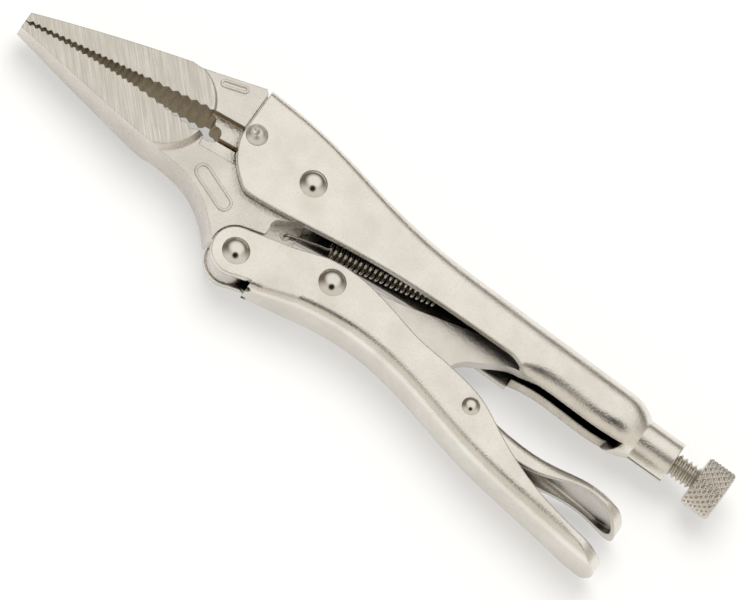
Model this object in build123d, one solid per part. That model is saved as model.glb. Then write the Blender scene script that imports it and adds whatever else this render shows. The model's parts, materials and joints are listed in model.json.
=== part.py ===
from build123d import *
import os
from math import atan2, ceil, cos, hypot, pi, radians, sin, sqrt, tan

# Long-nose locking pliers, shut and locked, lying on their side.
# While they are modelled the origin is the main rivet's axis at mid-thickness: +X runs to the knob, +Y to
# the upper handle and +Z along the rivets. At the end all of it moves so that the origin is the middle of
# the base.
# All sizes are millimetres.

# Pivots in the side view
MAIN_PIVOT = (0.0, 0.0)
HANDLE_PIVOT = (-4.5, -19.5)
LINK_PIVOT = (13.8, -14.0)
LEVER_PIVOT = (48.7, -18.1)
JAW_PIN_AT = (-14.1, 1.4)

# Widths across the tool, sheet thicknesses and clearances
UPPER_WIDTH = 12.0
UPPER_SHEET = 1.6
LOWER_SHEET = 1.4
LOWER_WIDTH = 11.6
LEVER_SHEET = 1.2
LINK_THICKNESS = 3.2
SIDE_PLAY = 0.2
LEVER_PLAY = 0.4
PIN_PLAY = 0.05
SEAT_PLAY = 0.02
EDGE_GAP = 0.3

# Rivets
RIVET_SHANK_R = 2.0
RIVET_HEAD_R = 2.75
RIVET_HEAD_H = 1.25
LEVER_RIVET_SHANK_R = 1.1
LEVER_RIVET_HEAD_R = 1.8
LEVER_RIVET_HEAD_H = 0.85
JAW_PIN_R = 1.5
JAW_PIN_NUB_R = 2.2
JAW_PIN_NUB_H = 1.3
JAW_PIN_DIMPLE_R = 1.1
JAW_PIN_DIMPLE_DEPTH = 0.65
JAW_PIN_DIMPLE_SHIFT = 0.75
JAW_PIN_TAIL_H = 0.6

# Jaws
JAW_REACH = 62.4
NOSE_TIP_WIDTH = 4.6
NOSE_ROOT_WIDTH = 11.3
NOSE_TIP_UPPER_H = 2.0
NOSE_TIP_LOWER_H = 1.5
UPPER_JAW_WIDTH = 10.0
BITE_TIP_Y = -5.6
BITE_GAP = 0.12
THROAT_X = -24.2
UPPER_THROAT_Y = 0.2
LOWER_THROAT_Y = -4.8
LOWER_BITE_RISE = 1.15
FINE_PITCH = 1.27
FINE_DEPTH = 0.5
COARSE_PITCH = 1.96
COARSE_DEPTH = 0.55
COARSE_TEETH = 7
HUB_R = 7.0
PARTING_ANGLE = 11.0
EAR_R = 4.8
JAW_EAR_R = 4.5
UPPER_NOSE_X = -22.9
LOWER_NOSE_X = -22.4
CUTTER_WIDTH = 6.2
CUTTER_EDGE_WIDTH = 4.6
CUTTER_CHAMFER = 0.4
UPPER_LAND_H = 4.2
UPPER_LAND_TO_X = -15.6
LOWER_LAND_H = 3.0
LOWER_LAND_TO_X = -12.0
NOSE_STEP_RISE = 2.0
NOSE_STEP_DRAFT = 38.0
MARK_RAISE = 0.25
MARK_RIM = 0.45
PILL_LENGTH = 10.4
PILL_WIDTH = 3.3
SLOT_MARK_LENGTH = 5.6
SLOT_MARK_WIDTH = 1.6
SPRING_TAB_THICKNESS = 1.6
HOOK_HOLE_AT = (1.3, -10.0)
HOOK_HOLE_R = 0.9

# Rear of the upper handle, screw and knob
SCREW_Y = -1.45
NEAR_LIP_X = 48.6
FAR_LIP_X = 37.0
LIP_LENGTH = 6.4
TUBE_FROM_X = 52.0
TUBE_TO_X = 73.0
TUBE_R = 5.0
TUBE_LOW_Y = -6.8
BOSS_FROM_X = 78.5
BOSS_TO_X = 86.2
BOSS_R = 4.3
BOSS_SEAM = 0.4
DOME_SHOULDER = 2.6
TUBE_SLOT_LEAN = 34.5
TUBE_SLOT_TO_X = 76.3
TUBE_SLOT_TAPER = 3.2
THREAD_MAJOR_R = 2.415
THREAD_PITCH = 1.058
THREAD_DEPTH = 0.6
BORE_PLAY = 0.1
LINK_HUB_R = 3.8
LINK_END_R = 2.2
LINK_END_X = 60.0
LINK_END_GAP = 2.5
SCREW_TIP_LENGTH = 3.5
SCREW_TIP_DOME_H = 0.8
KNOB_FROM_X = 91.4
KNOB_LENGTH = 6.2
KNOB_R = 5.2
KNOB_ROUND = 0.9
KNOB_STUB_R = 1.7

# Lower handle, lever and spring
SPINE_FROM_X = 1.2
FLARE_FROM_X = 3.5
FLARE_TO_X = 10.4
BEND_RELIEF_R = 0.95
FRONT_NOTCH_Y = -22.6
HANDLE_TAIL_X = 85.9
HANDLE_TAIL_WIDTH = 12.4
LEVER_TAIL_X = 85.2
LEVER_NOSE_X = 39.2
LEVER_TAIL_WIDTH = 13.0
SPRING_WIRE_R = 0.3
SPRING_MEAN_R = 1.6
SPRING_PITCH = 1.06
SPRING_TURNS = 21
SPRING_FROM = (9.8, -6.75)
SPRING_SLOPE = 12.3
SPRING_TAB_X = 38.8
SPRING_TAB_WIDTH = 3.6
SPRING_TAB_HOLE_R = 0.75

# Sizes that follow from the driving ones
UPPER_INNER = UPPER_WIDTH - 2 * UPPER_SHEET
JAW_WIDTH = UPPER_INNER - 2 * SIDE_PLAY
PINCH_WIDTH = JAW_WIDTH
EAR_WIDTH = PINCH_WIDTH - 2 * LOWER_SHEET - 2 * SIDE_PLAY
LOWER_INNER = LOWER_WIDTH - 2 * LOWER_SHEET
LEVER_WIDTH = LOWER_INNER - 2 * LEVER_PLAY
LINK_HUB_WIDTH = LOWER_INNER - 2 * SIDE_PLAY
BORE_R = THREAD_MAJOR_R + BORE_PLAY
SCREW_CORE_R = THREAD_MAJOR_R - THREAD_DEPTH
SCREW_TIP_X = LINK_END_X + LINK_END_GAP
SCREW_ROD_X = SCREW_TIP_X + SCREW_TIP_LENGTH
WIDE = 4 * UPPER_WIDTH


def slab(face, width):
    """A flat outline made solid, with its width centred on the mid-plane."""
    return extrude(face, width / 2, both=True)


def hole(at, radius, length=WIDE):
    """A round bar along Z through a side-view point."""
    return Pos(at[0], at[1], 0) * Cylinder(radius, length)


def bar(from_x, to_x, radius):
    """A round bar on the screw's axis."""
    return Pos((from_x + to_x) / 2, SCREW_Y, 0) * Rot(0, 90, 0) * Cylinder(radius, to_x - from_x)


def disc(at, radius):
    """A round face in the side view."""
    return Pos(at[0], at[1]) * Circle(radius)


def across(x, top, bottom, width, top_radius, bottom_radius):
    """A rounded rectangle across the tool at station x, with radii above and below that its sides allow."""
    half = width / 2
    widest = 0.49 * min(width, top - bottom)
    face = make_face(Polyline((-half, bottom), (half, bottom), (half, top), (-half, top), close=True))
    if top_radius:
        face = fillet(face.vertices().group_by(Axis.Y)[-1], min(top_radius, widest))
    if bottom_radius:
        face = fillet(face.vertices().group_by(Axis.Y)[0], min(bottom_radius, widest))
    return Plane(origin=(x, 0, 0), x_dir=(0, 0, -1), z_dir=(1, 0, 0)) * face


def skin(stations):
    """A smooth solid through sections given as (x, top, bottom, width, top radius, bottom radius)."""
    return loft([across(*station) for station in stations])


def inset(stations, sheet, top=True, bottom=True):
    """The same stations moved in by the sheet, with the sides named left where they are."""
    moved = []
    for x, high, low, width, high_r, low_r in stations:
        moved.append((
            x,
            high - sheet if top else high,
            low + sheet if bottom else low,
            width - 2 * sheet,
            max(high_r - sheet, 0.4) if high_r else 0,
            max(low_r - sheet, 0.4) if low_r else 0,
        ))
    return moved


def dome(radius, height):
    """A spherical cap that stands on the XY plane."""
    ball = (radius**2 + height**2) / (2 * height)
    half_turn = atan2(radius, ball - height) / 2
    mid = (ball * sin(half_turn), height - ball + ball * cos(half_turn))
    profile = make_face([
        Line((0, 0), (radius, 0)),
        ThreePointArc((radius, 0), mid, (0, height)),
        Line((0, height), (0, 0)),
    ])
    return revolve(Plane.XZ * profile, Axis.Z)


def rivet(at, grip, shank_r, head_r, head_h):
    """A shank the length of the grip with a domed head on each side."""
    head = Pos(0, 0, grip / 2) * dome(head_r, head_h)
    solid = Cylinder(shank_r, grip) + head + Rot(180, 0, 0) * head
    return Pos(at[0], at[1], 0) * solid


# Upper handle

CHANNEL_STATIONS = [
    (-18.0, 11.4, -13.0, UPPER_WIDTH, 2.4, 0),
    (-8.0, 10.75, -13.0, UPPER_WIDTH, 2.4, 0),
    (3.0, 9.1, -13.0, UPPER_WIDTH, 2.6, 0),
    (16.0, 6.55, -13.0, UPPER_WIDTH, 3.2, 0),
    (30.0, 5.25, -13.0, UPPER_WIDTH, 4.2, 0),
    (44.0, 5.1, -13.0, UPPER_WIDTH, 4.8, 0),
    (TUBE_FROM_X, 5.0, -13.0, UPPER_WIDTH, TUBE_R, 0),
]
TUBE_STATIONS = [
    (TUBE_FROM_X, 5.0, TUBE_LOW_Y, UPPER_WIDTH, TUBE_R, 2.4),
    (TUBE_FROM_X + 3, 4.97, TUBE_LOW_Y, UPPER_WIDTH, TUBE_R, 4.2),
    (TUBE_FROM_X + 7, 4.92, TUBE_LOW_Y, UPPER_WIDTH, TUBE_R, TUBE_R),
    (TUBE_TO_X, 4.7, TUBE_LOW_Y, UPPER_WIDTH, TUBE_R, TUBE_R),
]
NECK_R = BOSS_R - 0.1
DOME_STATIONS = [
    (TUBE_TO_X, 4.7, TUBE_LOW_Y, UPPER_WIDTH, TUBE_R, TUBE_R),
    (BOSS_FROM_X - DOME_SHOULDER, 4.15, -6.5, UPPER_WIDTH - 1.2, 4.7, 4.7),
    (BOSS_FROM_X, SCREW_Y + NECK_R, SCREW_Y - NECK_R, 2 * NECK_R, NECK_R - 0.1, NECK_R - 0.1),
]


def back_height(x):
    """Height of the upper handle's back at station x, taken straight between the channel's stations."""
    for before, after in zip(CHANNEL_STATIONS, CHANNEL_STATIONS[1:]):
        if before[0] <= x <= after[0]:
            share = (x - before[0]) / (after[0] - before[0])
            return before[1] + share * (after[1] - before[1])
    raise ValueError(f"no channel at {x}")


def cheek_outline(lip_x, grow=0.0):
    """Side view of a cheek, open above, moved out by grow; its lower edge drops to the tube after lip_x."""
    front = -16.5 - grow
    corner = (front, 1.0)
    chin = [
        (-15.55 - 0.95 * grow, -3.0 - 0.3 * grow),
        (-13.6 - 0.8 * grow, -6.0 - 0.6 * grow),
        (-11.3 - 0.55 * grow, -8.1 - 0.85 * grow),
        (-8.1 - 0.1 * grow, -9.1 - grow),
    ]
    lip = (lip_x, -4.5 - grow)
    rear = (lip_x + LIP_LENGTH, -6.9 - grow)
    return make_face([
        Line((front, 20), corner),
        Spline(corner, *chin, tangents=[(0, -1), (1, 0.05)]),
        Spline(chin[-1], (1.8, -7.9 - grow), (19.0, -5.55 - grow), lip, tangents=[(1, 0.05), (1, 0)]),
        Spline(lip, rear, tangents=[(1, 0), (1, -0.3)]),
        Line(rear, (120, rear[1])),
        Line((120, rear[1]), (120, 20)),
        Line((120, 20), (front, 20)),
    ])


def make_upper_handle():
    """Pressed channel with flat cheeks, a slotted tube, a domed end and a rolled boss."""
    channel = skin(CHANNEL_STATIONS) - skin(inset(CHANNEL_STATIONS, UPPER_SHEET, bottom=False))
    near_cheek = extrude(cheek_outline(NEAR_LIP_X), WIDE)
    far_cheek = extrude(cheek_outline(FAR_LIP_X), -WIDE)
    cheeks = near_cheek + far_cheek
    channel = channel & cheeks
    tube = (skin(TUBE_STATIONS) - skin(inset(TUBE_STATIONS, UPPER_SHEET))) & cheeks
    end = skin(DOME_STATIONS)
    end_inside = inset(DOME_STATIONS[:1], UPPER_SHEET) + [
        (BOSS_FROM_X - DOME_SHOULDER, 1.6, -4.4, 2 * BORE_R + 1.0, 2.2, 2.2),
    ]
    end = end - skin(end_inside)
    handle = channel + tube + end + bar(BOSS_FROM_X - 0.5, BOSS_TO_X, BOSS_R)
    handle -= bar(TUBE_TO_X - 0.5, BOSS_TO_X + 0.5, BORE_R)
    handle -= tube_slot()
    seam_length = BOSS_TO_X - BOSS_FROM_X + 1
    seam = Box(seam_length, 2 * BOSS_R, BOSS_SEAM)
    handle -= Pos(BOSS_TO_X + 1 - seam_length / 2, SCREW_Y - BOSS_R, 0) * seam
    handle += spring_anchor()
    handle -= hole(MAIN_PIVOT, RIVET_SHANK_R + SEAT_PLAY)
    handle -= hole(JAW_PIN_AT, JAW_PIN_R + SEAT_PLAY)
    return handle


def tube_slot():
    """The gap under the tube: its edges square to the curled sheet, its rear end slanted to a point."""
    lean = radians(TUBE_SLOT_LEAN)
    hub_z = UPPER_WIDTH / 2 - TUBE_R
    hub_y = TUBE_LOW_Y + TUBE_R
    edge_z = hub_z + TUBE_R * sin(lean)
    high, low = ((hub_z + r * sin(lean), hub_y - r * cos(lean)) for r in (0.4 * TUBE_R, 2 * TUBE_R))
    from_x = TUBE_FROM_X - 1
    wedge = make_face(Polyline(high, low, (-low[0], low[1]), (-high[0], high[1]), close=True))
    plane = Plane(origin=(from_x, 0, 0), x_dir=(0, 0, -1), z_dir=(1, 0, 0))
    gap = extrude(plane * wedge, TUBE_SLOT_TO_X - from_x)
    bend_x = TUBE_SLOT_TO_X - TUBE_SLOT_TAPER
    plan = make_face([
        Polyline((bend_x, -edge_z), (bend_x, -WIDE), (from_x, -WIDE), (from_x, WIDE), (TUBE_SLOT_TO_X, WIDE),
                 (TUBE_SLOT_TO_X, edge_z)),
        ThreePointArc((TUBE_SLOT_TO_X, edge_z), (bend_x + 0.6 * TUBE_SLOT_TAPER, 0), (bend_x, -edge_z)),
    ])
    return gap & extrude(Plane.XZ * plan, WIDE, both=True)


def spring_axis_y(x):
    """Height of the spring's axis at station x."""
    return SPRING_FROM[1] + (x - SPRING_FROM[0]) * tan(radians(SPRING_SLOPE))


def spring_anchor():
    """The tab that hangs from the handle's back and holds the spring's rear hook."""
    top = back_height(SPRING_TAB_X) - UPPER_SHEET / 2
    bottom = spring_axis_y(SPRING_TAB_X) - SPRING_TAB_HOLE_R - 1.1
    tab = Pos(SPRING_TAB_X, (top + bottom) / 2, 0) * Box(UPPER_SHEET, top - bottom, SPRING_TAB_WIDTH)
    eye = Pos(SPRING_TAB_X, spring_axis_y(SPRING_TAB_X), 0) * Rot(0, 90, 0) * Cylinder(SPRING_TAB_HOLE_R, 10)
    return tab - eye


# Jaws

UPPER_BITE = Line((-JAW_REACH, BITE_TIP_Y + BITE_GAP / 2), (THROAT_X, UPPER_THROAT_Y))
LOWER_BITE = ThreePointArc(
    (-JAW_REACH, BITE_TIP_Y - BITE_GAP / 2),
    ((THROAT_X - JAW_REACH) / 2, (BITE_TIP_Y + LOWER_THROAT_Y) / 2 + LOWER_BITE_RISE),
    (THROAT_X, LOWER_THROAT_Y),
)
CUTTER_FRONT = (-19.5, -2.9)


def toothed_edge(bite, up):
    """Edges along a bite line from tip to throat: fine V teeth, then coarse ones.

    The crests lie on the bite line, and the roots are cut to the side that up gives.
    """
    length = bite.length
    fine_length = length - COARSE_TEETH * COARSE_PITCH
    fine_count = int(fine_length / FINE_PITCH)
    plain = fine_length - fine_count * FINE_PITCH

    def at(distance, depth):
        spot = bite @ (distance / length)
        run = bite % (distance / length)
        return (spot.X - up * depth * run.Y, spot.Y + up * depth * run.X)

    points = [at(0, 0)]
    for tooth in range(fine_count):
        start = plain + tooth * FINE_PITCH
        points += [at(start, 0), at(start + FINE_PITCH / 2, FINE_DEPTH)]
    for tooth in range(COARSE_TEETH):
        start = fine_length + tooth * COARSE_PITCH
        points += [at(start, 0), at(start + COARSE_PITCH / 2, COARSE_DEPTH)]
    points.append(at(length, 0))
    return [Line(a, b) for a, b in zip(points, points[1:])]


def nose_wedge():
    """The taper that both noses are ground to, seen from above."""
    tip = NOSE_TIP_WIDTH / 2
    root = NOSE_ROOT_WIDTH / 2
    plan = make_face(Polyline(
        (-JAW_REACH, tip), (THROAT_X, root), (THROAT_X + 3, root), (THROAT_X + 3, -root), (THROAT_X, -root),
        (-JAW_REACH, -tip), close=True))
    return extrude(Plane.XZ * plan, WIDE, both=True)


def ground_nose(outline, nose_end, body_width):
    """The part of a jaw that nose_end bounds: ground to the taper, with a sloped step down to the body."""
    rise = extrude(Pos(0, 0, body_width / 2) * nose_end, NOSE_STEP_RISE, taper=NOSE_STEP_DRAFT)
    stepped = slab(nose_end, body_width) + rise + mirror(rise, Plane.XY)
    return stepped & slab(outline, WIDE) & nose_wedge()


def on_line(a, b, x):
    """The point at station x of the line through two side-view points."""
    share = (x - a[0]) / (b[0] - a[0])
    return (x, a[1] + share * (b[1] - a[1]))


def cutter_land(front, back, height):
    """Material taken off both faces beside a cutting edge: a flat land, chamfered along the edge.

    The land lies to the left of the run from front to back.
    """
    edge_z = CUTTER_EDGE_WIDTH / 2
    land_z = CUTTER_WIDTH / 2
    run = Vector(back[0] - front[0], back[1] - front[1]).normalized()
    section = make_face(Polyline(
        (-BITE_GAP, edge_z), (0, edge_z), (CUTTER_CHAMFER, land_z), (height, land_z), (height, WIDE),
        (-BITE_GAP, WIDE), close=True))
    length = hypot(back[0] - front[0], back[1] - front[1])
    plane = Plane(origin=(front[0], front[1], 0), x_dir=(-run.Y, run.X, 0), z_dir=(run.X, run.Y, 0))
    near = extrude(plane * section, length)
    return near + mirror(near, Plane.XY)


def rim_mark(at, angle, length, width, face_z):
    """A raised blank rim, as the border of a forging mark."""
    rim = SlotOverall(length, width) - SlotOverall(length - 2 * MARK_RIM, width - 2 * MARK_RIM)
    return Pos(at[0], at[1], face_z) * Rot(0, 0, angle) * extrude(rim, MARK_RAISE)


def make_upper_jaw():
    """Fixed jaw: ground nose, forged body, cutter blade and the tang between the cheeks."""
    tip_top = (-JAW_REACH, BITE_TIP_Y + NOSE_TIP_UPPER_H)
    brow = (-32.0, 6.4)
    brow_mid = ((tip_top[0] + brow[0]) / 2, (tip_top[1] + brow[1]) / 2 + 0.35)
    step = (-30.2, 6.35)
    shoulder = (-17.6, 10.6)
    tang_front = (-16.0, back_height(-16.0) - UPPER_SHEET - 2 * EDGE_GAP)
    tang_back = (-7.0, back_height(-7.0) - UPPER_SHEET - 2 * EDGE_GAP)
    relief = HUB_R + EDGE_GAP
    relief_top = (-relief * cos(radians(62)), relief * sin(radians(62)))
    relief_end = (-relief * cos(radians(PARTING_ANGLE)), -relief * sin(radians(PARTING_ANGLE)))
    cutter_front = (CUTTER_FRONT[0], CUTTER_FRONT[1] + BITE_GAP / 2)
    throat = (THROAT_X, UPPER_THROAT_Y)
    teeth = toothed_edge(UPPER_BITE, 1)
    roof = (throat[0] + 0.9, throat[1] + 0.55)
    roof_mid = (throat[0] + 1.7, throat[1] + 0.35)
    wall = (throat[0] + 2.3, throat[1] - 0.8)
    lip_back = (cutter_front[0] - 1.8, cutter_front[1] + 1.9)
    lip_mid = (cutter_front[0] - 0.7, cutter_front[1] + 1.8)
    lip = (cutter_front[0] - 0.15, cutter_front[1] + 0.95)
    outline = make_face(teeth + [
        Line(throat, roof),
        ThreePointArc(roof, roof_mid, wall),
        Line(wall, lip_back),
        ThreePointArc(lip_back, lip_mid, lip),
        Line(lip, cutter_front),
        Line(cutter_front, relief_end),
        ThreePointArc(relief_end, (-relief, 0), relief_top),
        Line(relief_top, tang_back),
        Line(tang_back, tang_front),
        Line(tang_front, shoulder),
        Line(shoulder, step),
        Line(step, brow),
        ThreePointArc(brow, brow_mid, tip_top),
        Line(tip_top, (-JAW_REACH, BITE_TIP_Y + BITE_GAP / 2)),
    ])
    nose_end = make_face([
        Polyline((-30.7, 6.7), (-32.0, 12), (-JAW_REACH - 4, 12), (-JAW_REACH - 4, -12)),
        Polyline((-JAW_REACH - 4, -12), (UPPER_NOSE_X, -12), (UPPER_NOSE_X, 0.2)),
        ThreePointArc((UPPER_NOSE_X, 0.2), (-25.4, 4.4), (-30.7, 6.7)),
    ])
    nose = ground_nose(outline, nose_end, UPPER_JAW_WIDTH)
    body = slab(outline - nose_end, UPPER_JAW_WIDTH)
    cheek_room = cheek_outline(NEAR_LIP_X, EDGE_GAP)
    cheeks = slab(cheek_room, WIDE) - slab(cheek_room, JAW_WIDTH)
    jaw = nose + (body - cheeks)
    land_front = on_line(cutter_front, relief_end, UPPER_NOSE_X)
    land_back = on_line(cutter_front, relief_end, UPPER_LAND_TO_X)
    jaw -= cutter_land(land_front, land_back, UPPER_LAND_H)
    jaw += rim_mark((-22.9, 7.2), 19.0, SLOT_MARK_LENGTH, SLOT_MARK_WIDTH, UPPER_JAW_WIDTH / 2)
    return jaw - hole(JAW_PIN_AT, JAW_PIN_R + SEAT_PLAY)


def handle_ear_relief():
    """Side view of the room that the lower handle's ears need beside the jaw's own ear."""
    reach = EAR_R + EDGE_GAP
    lean = radians(17)
    left = HANDLE_PIVOT[0] - reach * sin(lean), HANDLE_PIVOT[1] + reach * cos(lean)
    right = left[0] + 30 * cos(lean), left[1] + 30 * sin(lean)
    below = ((HANDLE_PIVOT[0], -40), (right[0], -40))
    return disc(HANDLE_PIVOT, reach) + make_face(Polyline(left, HANDLE_PIVOT, *below, right, close=True))


def make_lower_jaw():
    """Moving jaw: ground nose, body between the cheeks, hub, recessed ear, cutter blade and spring tab."""
    tip_low = (-JAW_REACH, BITE_TIP_Y - NOSE_TIP_LOWER_H)
    heel = (-32.4, -11.65)
    heel_mid = ((tip_low[0] + heel[0]) / 2, (tip_low[1] + heel[1]) / 2 - 0.1)
    flank_end = (HANDLE_PIVOT[0] - EAR_R - 0.9, HANDLE_PIVOT[1] - 0.4)
    throat = (THROAT_X, LOWER_THROAT_Y)
    cutter_front = (CUTTER_FRONT[0], CUTTER_FRONT[1] - BITE_GAP / 2)
    hub_in_y = -(HUB_R + EDGE_GAP) * sin(radians(PARTING_ANGLE)) - EDGE_GAP
    hub_in = (-sqrt(HUB_R**2 - hub_in_y**2), hub_in_y)
    hub_out = (HUB_R * cos(radians(48)), -HUB_R * sin(radians(48)))
    sill = (throat[0] + 1.1, throat[1] + 0.5)
    sill_mid = (cutter_front[0] - 1.9, cutter_front[1] - 1.35)
    lip = (cutter_front[0] - 0.5, cutter_front[1] - 0.85)
    pocket_low = (-1.9, -13.2)
    pocket_top = (-1.2, -9.4)
    outline = make_face(toothed_edge(LOWER_BITE, -1) + [
        Line(throat, sill),
        ThreePointArc(sill, sill_mid, lip),
        Line(lip, cutter_front),
        Line(cutter_front, hub_in),
        ThreePointArc(hub_in, (HUB_R * cos(radians(60)), HUB_R * sin(radians(60))), hub_out),
        Line(hub_out, (2.1, -7.3)),
        Line((2.1, -7.3), pocket_top),
        ThreePointArc(pocket_top, (-2.0, -10.4), (-1.9, -11.6)),
        Line((-1.9, -11.6), pocket_low),
        Line(pocket_low, HANDLE_PIVOT),
        Line(HANDLE_PIVOT, flank_end),
        Spline(flank_end, (-14.3, -15.75), (-19.2, -13.1), (-26.6, -12.0), heel),
        ThreePointArc(heel, heel_mid, tip_low),
        Line(tip_low, (-JAW_REACH, BITE_TIP_Y - BITE_GAP / 2)),
    ])
    nose_end = make_face([
        Polyline((-JAW_REACH - 4, 3), (-JAW_REACH - 4, -20), (-32.2, -20), (-32.2, -13.0)),
        ThreePointArc((-32.2, -13.0), (-25.9, -10.75), (LOWER_NOSE_X, -4.2)),
        Polyline((LOWER_NOSE_X, -4.2), (LOWER_NOSE_X, 3), (-JAW_REACH - 4, 3)),
    ])
    nose = ground_nose(outline, nose_end, JAW_WIDTH)
    body = slab(outline - nose_end, JAW_WIDTH)
    ear = slab(disc(HANDLE_PIVOT, JAW_EAR_R) + make_face(Polyline(
        HANDLE_PIVOT, (HANDLE_PIVOT[0] - JAW_EAR_R, HANDLE_PIVOT[1]), (-10.0, -13.5), (-1.9, -12.0),
        (HANDLE_PIVOT[0] + JAW_EAR_R, HANDLE_PIVOT[1]), close=True)), EAR_WIDTH)
    tab_side = Polyline((-3.0, -14.5), (2.6, -13.2), (3.6, -11.5), (3.6, -6.0), (-3.0, -8.0), close=True)
    tab = slab(make_face(tab_side), SPRING_TAB_THICKNESS)
    ear_room = slab(handle_ear_relief(), WIDE) - slab(handle_ear_relief(), EAR_WIDTH)
    jaw = nose + (body - ear_room) + ear + tab
    jaw += rim_mark((-15.0, -11.75), -22.4, PILL_LENGTH, PILL_WIDTH, JAW_WIDTH / 2)
    land_front = on_line(cutter_front, hub_in, LOWER_NOSE_X)
    land_back = on_line(cutter_front, hub_in, LOWER_LAND_TO_X)
    jaw -= cutter_land(land_back, land_front, LOWER_LAND_H)
    jaw -= hole(MAIN_PIVOT, RIVET_SHANK_R + PIN_PLAY)
    jaw -= hole(HANDLE_PIVOT, RIVET_SHANK_R + PIN_PLAY)
    return jaw - hole(HOOK_HOLE_AT, HOOK_HOLE_R)


# Lower handle

PINCH_STATIONS = [
    (SPINE_FROM_X, 0.0, -24.2, PINCH_WIDTH, 0, 1.8),
    (FLARE_FROM_X, 0.0, -23.55, PINCH_WIDTH, 0, 1.8),
]
FLARE_STATIONS = [
    (FLARE_FROM_X, 0.0, -23.55, PINCH_WIDTH, 0, 1.8),
    (FLARE_TO_X, 0.0, -21.75, LOWER_WIDTH, 0, 2.2),
]
TROUGH_STATIONS = [
    (FLARE_TO_X, 0.0, -21.75, LOWER_WIDTH, 0, 2.2),
    (16.0, 0.0, -20.65, LOWER_WIDTH, 0, 2.3),
    (25.0, 0.0, -20.1, LOWER_WIDTH, 0, 2.4),
    (38.0, 0.0, -21.95, LOWER_WIDTH, 0, 2.4),
    (50.0, 0.0, -25.0, LOWER_WIDTH, 0, 2.4),
    (HANDLE_TAIL_X - 23, 0.0, -27.35, LOWER_WIDTH, 0, 2.6),
    (HANDLE_TAIL_X - 11, 0.0, -28.85, HANDLE_TAIL_WIDTH, 0, 2.8),
    (HANDLE_TAIL_X + 1, 0.0, -29.45, HANDLE_TAIL_WIDTH, 0, 2.8),
]


def make_lower_handle():
    """Pressed trough, pinched at the front into two ears, with a wide shallow tail."""
    lean = radians(17)
    ear_top = (HANDLE_PIVOT[0] - EAR_R * sin(lean), HANDLE_PIVOT[1] + EAR_R * cos(lean))
    heel = radians(-60)
    ear_heel = (HANDLE_PIVOT[0] + EAR_R * cos(heel), HANDLE_PIVOT[1] + EAR_R * sin(heel))
    tail_low = (HANDLE_TAIL_X, -32.0)
    side = make_face([
        Line(HANDLE_PIVOT, ear_top),
        Line(ear_top, (8.6, -11.0)),
        Spline((8.6, -11.0), (14.5, -9.95), (20.5, -10.2), (33.4, -13.1), (47.0, -14.9),
               tangents=[(1, 0.29), (1, -0.2)]),
        Spline((47.0, -14.9), (55.8, -18.8), (HANDLE_TAIL_X - 14.6, -24.9), (HANDLE_TAIL_X - 5.5, -26.6),
               (HANDLE_TAIL_X, -27.3), tangents=[(1, -0.2), (1, -0.15)]),
        Line((HANDLE_TAIL_X, -27.3), tail_low),
        Line(tail_low, (SPINE_FROM_X, -32.0)),
        Line((SPINE_FROM_X, -32.0), (SPINE_FROM_X, FRONT_NOTCH_Y)),
        Line((SPINE_FROM_X, FRONT_NOTCH_Y), ear_heel),
        Line(ear_heel, HANDLE_PIVOT),
    ]) + disc(HANDLE_PIVOT, EAR_R)
    trough = Part()
    inside = tail_plan(HANDLE_TAIL_X - LOWER_SHEET, HANDLE_TAIL_WIDTH - 2 * LOWER_SHEET, 0)
    for stations in (PINCH_STATIONS, FLARE_STATIONS, TROUGH_STATIONS):
        trough += skin(stations) - (skin(inset(stations, LOWER_SHEET, top=False)) & inside)
    trough = trough & slab(side, WIDE) & tail_plan(HANDLE_TAIL_X, HANDLE_TAIL_WIDTH, 0)
    front = side & (Pos(SPINE_FROM_X - WIDE / 2, HANDLE_PIVOT[1]) * Rectangle(WIDE, WIDE))
    handle = trough + slab(front, PINCH_WIDTH) - slab(front, PINCH_WIDTH - 2 * LOWER_SHEET)
    for at, shank_r, head_r, grip in (
        (HANDLE_PIVOT, RIVET_SHANK_R, RIVET_HEAD_R, PINCH_WIDTH),
        (LINK_PIVOT, RIVET_SHANK_R, RIVET_HEAD_R, LOWER_WIDTH),
        (LEVER_PIVOT, LEVER_RIVET_SHANK_R, LEVER_RIVET_HEAD_R, LOWER_WIDTH),
    ):
        seat = head_r + EDGE_GAP
        handle -= hole(at, shank_r + SEAT_PLAY)
        handle -= hole(at, seat) - hole(at, seat, grip)
    relief_z = PINCH_WIDTH / 2 - LOWER_SHEET - BEND_RELIEF_R / 3
    for side_z in (relief_z, -relief_z):
        relief = Cylinder(BEND_RELIEF_R, 10, align=(Align.CENTER, Align.CENTER, Align.MIN))
        handle -= Pos(SPINE_FROM_X, FRONT_NOTCH_Y, side_z) * Rot(90, 0, 0) * relief
    return handle


def tail_plan(tail_x, width, from_x):
    """A tongue with a half-round end, seen from above, that trims a handle's tail."""
    half = width / 2
    plan = make_face([
        Line((from_x, -half), (tail_x - half, -half)),
        ThreePointArc((tail_x - half, -half), (tail_x, 0), (tail_x - half, half)),
        Line((tail_x - half, half), (from_x, half)),
        Line((from_x, half), (from_x, -half)),
    ])
    return extrude(Plane.XZ * plan, WIDE, both=True)


# Release lever

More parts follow.
